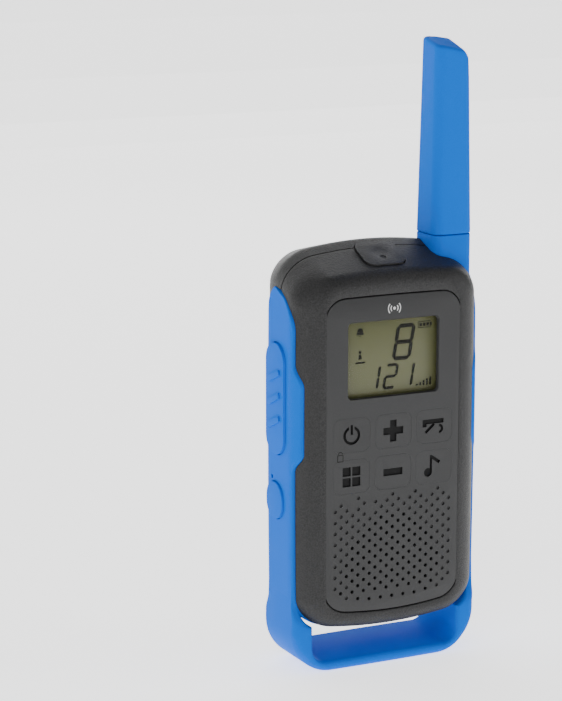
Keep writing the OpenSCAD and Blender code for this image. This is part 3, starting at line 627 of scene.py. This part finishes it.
carve(band, [side_plug("talk_hole", PTT_Y, PTT_Z, PTT_W + 0.5, PTT_H + 0.5, -33, -25),
             side_plug("monitor_hole", MON_Y, MON_Z, MON_W + 0.5, MON_H + 0.5, -32, -25),
             side_plug("dimple", 1.5, 55.0, 1.2, 1.2, -33, -28.7),
             side_plug("flap_recess", -2.7, 90.0, 11.16, 14.16, 28.35, 33)])
joined = bmesh.new()
for part in (band, loop_part, collar):
    joined.from_mesh(part.data)
blue_mesh = bpy.data.meshes.new("blue_frame_moulding")
joined.to_mesh(blue_mesh)
joined.free()
blue_frame = bpy.data.objects.new("blue_frame_moulding", blue_mesh)
bpy.context.scene.collection.objects.link(blue_frame)
for part in (band, loop_part, collar):
    bpy.data.objects.remove(part)
blue_frame.data.polygons.foreach_set("use_smooth", [True] * len(blue_mesh.polygons))
blue_frame.data.set_sharp_from_angle(angle=math.radians(35))
finished(blue_frame, "radio", "soft_blue", soft_blue, "blue_frame")

# ---------------------------------------------------------------- antenna
# Stiff soft-skinned stub, moulded in the frame's blue. It tapers a little, its right
# shoulder is rounder than the left, and a fine seam parts it from the collar.
ANT_TOP, ANT_TAPER = 175.2, 1.0
ant_rings = []


def antenna_ring(t, shrink, z):
    """A ring at share t of the height; near the tip it drops to the front and the right shoulder."""
    hx, hy = COLLAR_W / 2 - ANT_TAPER * t, COLLAR_D / 2 - ANT_TAPER * t
    ring = pillar_ring(COLLAR_X, COLLAR_Y, hx - shrink, hy - shrink, max(0.5, 2.9 - 0.5 * t - shrink), z)
    near_tip = min(1.0, max(0.0, (z - 161) / (ANT_TOP - 161))) ** 1.6
    into = np.clip(ring[:, 0] - (COLLAR_X + hx - 6), 0, 5.6)
    forward = np.clip((COLLAR_Y + hy - 3 - ring[:, 1]) / (2 * hy - 3), 0, 1)
    ring[:, 2] -= near_tip * (6 - np.sqrt(36 - into ** 2) + 2.3 * forward)
    return ring


for k in range(4):
    a = math.pi / 2 * k / 3
    ant_rings.append(antenna_ring(0, 0.3 * (1 - math.sin(a)), SEAM_Z + 0.12 + 0.3 * (1 - math.cos(a))))
for k in range(1, 40):
    ant_rings.append(antenna_ring(k / 39, 0, SEAM_Z + 0.6 + (ANT_TOP - 1.1 - SEAM_Z - 0.6) * k / 39))
for k in range(1, 7):
    a = math.pi / 2 * k / 6
    ant_rings.append(antenna_ring(1, 1.1 * (1 - math.cos(a)), ANT_TOP - 1.1 + 1.1 * math.sin(a)))
for g in (1.9, 2.8, 3.7, 4.6):
    ant_rings.append(antenna_ring(1, g, ANT_TOP))
antenna = loft("antenna_skin", ant_rings, smooth=60)
finished(antenna, "radio", "soft_blue", soft_blue, "antenna_sheath")

# ---------------------------------------------------------------- talk and monitor buttons
# Blue rubber caps in the left flank. The long one has three slanting ribs for grip.
# The charging port in the right flank has a flap of the same rubber.
talk = softened("ptt_button", 0.55, 4)
finished(talk, "ptt_button", "soft_blue", soft_blue, "ptt_button")
monitor = softened("monitor_button", 0.6, 4)
finished(monitor, "monitor_button", "soft_blue", soft_blue, "monitor_button")
flap = softened("port_flap", 0.25, 3)
finished(flap, "port_flap", "soft_blue", soft_blue, "port_flap")

# ---------------------------------------------------------------- back cover
# Dark ABS shell that closes the back, cut out for the sliding battery door, with four
# deep screw seats and a round raised seat for the belt clip.
cover_start = BACK_SEAM + SEAM


def shrunk(ring, s):
    """The ring drawn together towards the middle of the case, to close its back."""
    return np.stack([ring[:, 0] * s, ring[:, 1], MIDDLE + (ring[:, 2] - MIDDLE) * s], 1)


cover_rings = [shrunk(case_surface(BACK - WALL, WALL), s) for s in (0.02, 0.35, 0.7)]
for k in range(8):
    cover_rings.append(case_surface(BACK - WALL + (cover_start - BACK + WALL) * k / 7, WALL))
for k in range(5):
    a = math.pi / 2 * k / 4
    cover_rings.append(case_surface(cover_start + LIP * (1 - math.sin(a)), LIP * math.cos(a)))
for k in range(1, 33):
    cover_rings.append(case_surface(BACK - (BACK - cover_start - LIP) * (1 - k / 32) ** 1.8))
last_ring = cover_rings[-1]
cover_rings += [shrunk(last_ring, s) for s in (0.85, 0.5, 0.02)]
back_cover = loft("back_cover_shell", cover_rings)
CLIP_Z = 94.0
DOOR_W, DOOR_TOP = 18.5, 71.0
SCREWS = [(-22.5, 20.5), (22.5, 20.5), (-22.5, 102.0), (22.5, 102.0)]
pillars = [rounded_box("screw_pillar", sx, sz, 6.0, 6.0, 2.99, 3.5, BACK - 3.6, arc=10) for sx, sz in SCREWS]
pillars.append(rounded_box("swivel_seat", 0, CLIP_Z, 18.0, 18.0, 8.99, BACK - 1.5, BACK + 1.2, arc=16))
carve(back_cover, pillars, "UNION")
back_cuts = [rounded_box("door_hole", 0, (DOOR_TOP + 0.1) / 2, 2 * DOOR_W + 0.2, DOOR_TOP + 0.1, 0.8,
                         BACK - 7, BACK + 2)]
for sx, sz in SCREWS:
    back_cuts.append(rounded_box("screw_seat", sx, sz, 5.0, 5.0, 2.49, BACK - 6, BACK + 2, arc=10))
back_cuts.append(tilted_prism("button_hole", 0.32, -6, 6))
back_cuts.append(rounded_box("swivel_hole", 0, CLIP_Z, 8.0, 8.0, 3.99, BACK - 5, BACK + 2, arc=12))
carve(back_cover, back_cuts)
finished(back_cover, "radio", "housing_dark", dark_abs, "rear_housing")

# ---------------------------------------------------------------- battery door and belt clip
# The door slides down on two side rails and carries pressed grip steps. The clip is a
# stiff one-piece moulding that turns on its round post.
door = softened("battery_door", 0.3, 3)
finished(door, "battery_door", "housing_dark", dark_abs, "battery_door")
clip = softened("belt_clip", 0.7, 4)
finished(clip, "belt_clip", "housing_dark", dark_abs, "belt_clip")

# ---------------------------------------------------------------- display
# Clear window, grey-green liquid crystal cell and its black figures. The figures are thin
# films on the cell; the channel figures lean to the right.
LCD_Y = FRONT + 2.1
INK_T = 0.04


def film(polygons, face_y):
    """Thin closed films on a face at face_y, one for each convex outline in X and Z."""
    verts, faces = [], []
    for outline_points in polygons:
        n, base = len(outline_points), len(verts)
        verts += [(x, face_y - INK_T, z) for x, z in outline_points]
        verts += [(x, face_y - 0.002, z) for x, z in outline_points]
        faces.append(tuple(base + k for k in range(n)))
        faces.append(tuple(base + n + k for k in reversed(range(n))))
        for k in range(n):
            m = (k + 1) % n
            faces.append((base + k, base + m, base + n + m, base + n + k))
    return verts, faces


SEGMENTS = {"a": (0, 2, 1, 2), "b": (1, 2, 1, 1), "c": (1, 1, 1, 0), "d": (0, 0, 1, 0),
            "e": (0, 1, 0, 0), "f": (0, 2, 0, 1), "g": (0, 1, 1, 1)}
FIGURES = {"1": "bc", "2": "abged", "8": "abcdefg"}


def digit(figure, x, z, width, height, stroke, lean=0.17):
    """Seven-segment strokes with pointed ends, leaning to the right."""
    made = []
    for s in FIGURES[figure]:
        u0, v0, u1, v1 = SEGMENTS[s]
        a = np.array([stroke / 2 + u0 * (width - stroke), stroke / 2 + v0 * (height - stroke) / 2])
        b = np.array([stroke / 2 + u1 * (width - stroke), stroke / 2 + v1 * (height - stroke) / 2])
        along = (b - a) / np.linalg.norm(b - a)
        side = np.array([-along[1], along[0]]) * stroke / 2
        gap = along * stroke * 0.04
        p, q = a + gap, b - gap
        inner = along * stroke * 0.4
        shape = [p, p + inner + side, q - inner + side, q, q - inner - side, p + inner - side]
        made.append([(x + c[0] + lean * c[1], z + c[1]) for c in shape])
    return made


def bar(x0, z0, x1, z1):
    return [(x0, z0), (x1, z0), (x1, z1), (x0, z1)]


def disc(x, z, r, n=18, a0=0, a1=360):
    return [(x + r * math.cos(math.radians(a0 + (a1 - a0) * k / n)),
             z + r * math.sin(math.radians(a0 + (a1 - a0) * k / n))) for k in range(n + (a1 - a0 < 360))]


ink = digit("8", 0.3, 87.7, 6.0, 10.2, 1.15)
ink += digit("1", -7.5, 79.8, 3.6, 7.2, 0.85) + digit("2", -2.6, 79.8, 4.2, 7.2, 0.85)
ink += digit("1", 3.1, 79.8, 3.7, 7.2, 0.85)
ink += [bar(8.6, 96.2, 12.6, 96.4), bar(8.6, 97.9, 12.6, 98.1), bar(8.6, 96.4, 8.8, 97.9),
        bar(12.4, 96.4, 12.6, 97.9), bar(12.6, 96.7, 13.0, 97.6)]
ink += [bar(9.1 + 1.1 * k, 96.65, 9.9 + 1.1 * k, 97.65) for k in range(3)]
ink += [bar(8.2 + 1.05 * k, 79.9, 8.8 + 1.05 * k, 80.5 + 0.4 * k) for k in range(5)]
ink += [disc(-9.5, 96.9, 0.85, 12, 0, 180), [(-10.35, 96.9), (-10.7, 95.8), (-8.3, 95.8), (-8.65, 96.9)],
        bar(-9.8, 95.3, -9.2, 95.6), [(-9.8, 90.4), (-9.2, 90.4), (-8.9, 89.0), (-10.1, 89.0)],
        disc(-9.5, 91.0, 0.45, 12), bar(-10.9, 87.8, -7.9, 88.3)]
verts, faces = film(ink, LCD_Y)
lcd_ink = mesh_object("lcd_figures", verts, faces)
ink_black = plastic("lcd_ink", (0.003, 0.003, 0.002), rough=0.45, grain=0.2, depth=0.004, wear=0, spread=0.05,
                   shine=0.1)
finished(lcd_ink, "radio", "part_black", ink_black)

lcd_green = plastic("lcd_cell", (0.092, 0.096, 0.034), rough=0.38, grain=0.12, depth=0.002, wear=0,
                    spread=0.05)
lcd_cell = softened("lcd_glass", 0.15, 2)
finished(lcd_cell, "radio", "lcd_olive", lcd_green, "lcd_glass")

clear = bpy.data.materials.new("window_clear")
clear.use_nodes = True
tree = clear.node_tree
shader = tree.nodes["Principled BSDF"]
place = node(tree, "ShaderNodeTexCoord").outputs["Object"]
smear = node(tree, "ShaderNodeTexNoise", {"Vector": place, "Scale": 90.0, "Detail": 5.0}).outputs[0]
haze = node(tree, "ShaderNodeMapRange", {"Value": smear, "From Min": 0.35, "From Max": 0.75,
                                         "To Min": 0.04, "To Max": 0.10}).outputs[0]
tree.links.new(haze, shader.inputs["Roughness"])
shader.inputs["Base Color"].default_value = (0.10, 0.10, 0.08, 1)
shader.inputs["Alpha"].default_value = 0.05
clear.surface_render_method = "BLENDED"
lens = softened("display_lens", 0.15, 2)
finished(lens, "radio", "lens_clear", clear, "display_lens")

# ---------------------------------------------------------------- printed marks and painted shade
# Two plain pictograms on the panel: radio waves round a dot above the window, printed in thin pale ink, and a
# padlock beside the lower keys, a thin black film that paints the shade of its pressed-in outline.


def stroke(x, z, r0, r1, a0, a1, n=14):
    """An arc of even width, cut into short convex pieces."""
    angles = [math.radians(a0 + (a1 - a0) * k / n) for k in range(n + 1)]
    return [[(x + q * math.cos(a), z + q * math.sin(a)) for q, a in ((r0, a), (r1, a), (r1, b), (r0, b))]
            for a, b in zip(angles, angles[1:])]


marks = [disc(0, 102.9, 0.42)]
for r0, r1 in ((0.95, 1.25), (1.75, 2.05)):
    marks += stroke(0, 102.9, r0, r1, -42, 42) + stroke(0, 102.9, r0, r1, 138, 222)
verts, faces = film(marks, FRONT)
printed = mesh_object("panel_marks", verts, faces)
white_ink = plastic("white_ink", (0.55, 0.55, 0.55), rough=0.6, grain=0.2, depth=0.004, wear=0, spread=0.04)
finished(printed, "radio", "holder_white", white_ink)
# Painted shade: the padlock's pressed-in outline drawn as a thin black film.
lock_shade_outline = [bar(-17.4, 61.2, -15.6, 61.35), bar(-17.4, 63.05, -15.6, 63.2), bar(-17.4, 61.35, -17.25, 63.05),
        bar(-15.75, 61.35, -15.6, 63.05)] + stroke(-16.5, 63.4, 0.5, 0.65, 0, 180)
verts, faces = film(lock_shade_outline, FRONT)
finished(mesh_object("lock_mark", verts, faces), "radio", "part_black", ink_black)

# ---------------------------------------------------------------- inner pieces
# Board, shield, switches, speaker, cells and their contacts. They show only through the
# sound holes and with the door open, and keep their machined form.
INSIDE = {
    "holder_white": ((0.62, 0.62, 0.58), 0.5, 0.0), "mat_grey": ((0.10, 0.105, 0.11), 0.7, 0.0),
    "board_green": ((0.010, 0.11, 0.035), 0.35, 0.0), "part_black": ((0.015, 0.015, 0.017), 0.45, 0.0),
    "shield_tin": ((0.55, 0.56, 0.57), 0.32, 1.0), "contact_metal": ((0.66, 0.66, 0.63), 0.22, 1.0),
    "screw_steel": ((0.36, 0.37, 0.38), 0.35, 1.0), "brass": ((0.62, 0.44, 0.16), 0.3, 1.0),
    "copper": ((0.60, 0.26, 0.10), 0.3, 1.0), "cone_paper": ((0.035, 0.035, 0.032), 0.85, 0.0),
    "mesh_cloth": ((0.004, 0.004, 0.005), 0.95, 0.0), "magnet": ((0.32, 0.33, 0.34), 0.4, 1.0),
    "mic_can": ((0.55, 0.56, 0.57), 0.35, 1.0), "cell_jacket": ((0.42, 0.24, 0.03), 0.3, 0.0),
    "housing_dark": ((0.030, 0.031, 0.034), 0.55, 0.0),
}
finishes = {name: plastic("finish_" + name, colour, rough=rough, grain=0.4, depth=0.02, wear=0.3, metal=metal)
            for name, (colour, rough, metal) in INSIDE.items()}
slots = {s["node"]: s["material_slot"] for s in frame["record"]["subparts"]}
for name, part in frame["nodes"].items():
    if part.hide_render:
        continue
    part.data.materials.clear()
    part.data.materials.append(finishes[slots[name]])
    part.data.polygons.foreach_set("material_index", [0] * len(part.data.polygons))

# ---------------------------------------------------------------- stage, light and camera
# Pale sweep under soft studio boxes.
BEND_Y, BEND_R = 1.2, 0.6
bend = [(BEND_Y + BEND_R * math.sin(math.radians(a)), BEND_R - BEND_R * math.cos(math.radians(a)))
        for a in range(10, 91, 10)]
profile = [(-3.0, 0), (BEND_Y, 0)] + bend + [(BEND_Y + BEND_R, 3.0)]
sweep = [[(x, y, z) for y, z in profile] for x in (-3, 3)]
n = len(sweep[0])
floor_mesh = bpy.data.meshes.new("floor")
floor_mesh.from_pydata(sweep[0] + sweep[1], [], [(k, n + k, n + k + 1, k + 1) for k in range(n - 1)])
floor = bpy.data.objects.new("floor", floor_mesh)
bpy.context.scene.collection.objects.link(floor)
floor_mat = plastic("pale_floor", (0.86, 0.86, 0.86), rough=0.9, grain=2.0, depth=0.01, wear=0,
                    spread=0.01, glow=1.6)
floor.data.materials.append(floor_mat)

world = bpy.data.worlds.new("studio")
bpy.context.scene.world = world
world.use_nodes = True
world.node_tree.nodes["Background"].inputs[0].default_value = (1, 1, 1, 1)
world.node_tree.nodes["Background"].inputs[1].default_value = 0.22


def softbox(name, place, aim, width, height, power):
    lamp = bpy.data.lights.new(name, "AREA")
    lamp.shape, lamp.size, lamp.size_y, lamp.energy = "RECTANGLE", width, height, power
    obj = bpy.data.objects.new(name, lamp)
    obj.location = place
    obj.rotation_mode = "QUATERNION"
    obj.rotation_quaternion = (Vector(aim) - Vector(place)).to_track_quat("-Z", "Y")
    bpy.context.scene.collection.objects.link(obj)


CENTRE = (0, 0, 0.09)
softbox("key_box", (-0.55, -0.55, 0.65), CENTRE, 0.5, 0.5, 3.2)
softbox("right_box", (0.7, -0.35, 0.35), CENTRE, 0.3, 0.7, 1.6)
softbox("top_box", (0.0, 0.1, 0.9), CENTRE, 0.6, 0.6, 0.7)
softbox("back_box", (0.3, 0.8, 0.5), CENTRE, 0.6, 0.6, 0.8)

AZIMUTH, ELEVATION, DISTANCE = -26.2, 11.6, 0.65
aim = Vector((-0.02726, 0, 0.09075))
turn, rise = math.radians(AZIMUTH), math.radians(ELEVATION)
away = Vector((math.sin(turn) * math.cos(rise), -math.cos(turn) * math.cos(rise), math.sin(rise)))
lens_data = bpy.data.cameras.new("camera")
lens_data.lens, lens_data.sensor_width = 121.2, 36
camera = bpy.data.objects.new("camera", lens_data)
camera.location = aim + away * DISTANCE
camera.rotation_mode = "QUATERNION"
camera.rotation_quaternion = (-away).to_track_quat("-Z", "Y")
bpy.context.scene.collection.objects.link(camera)
bpy.context.scene.camera = camera
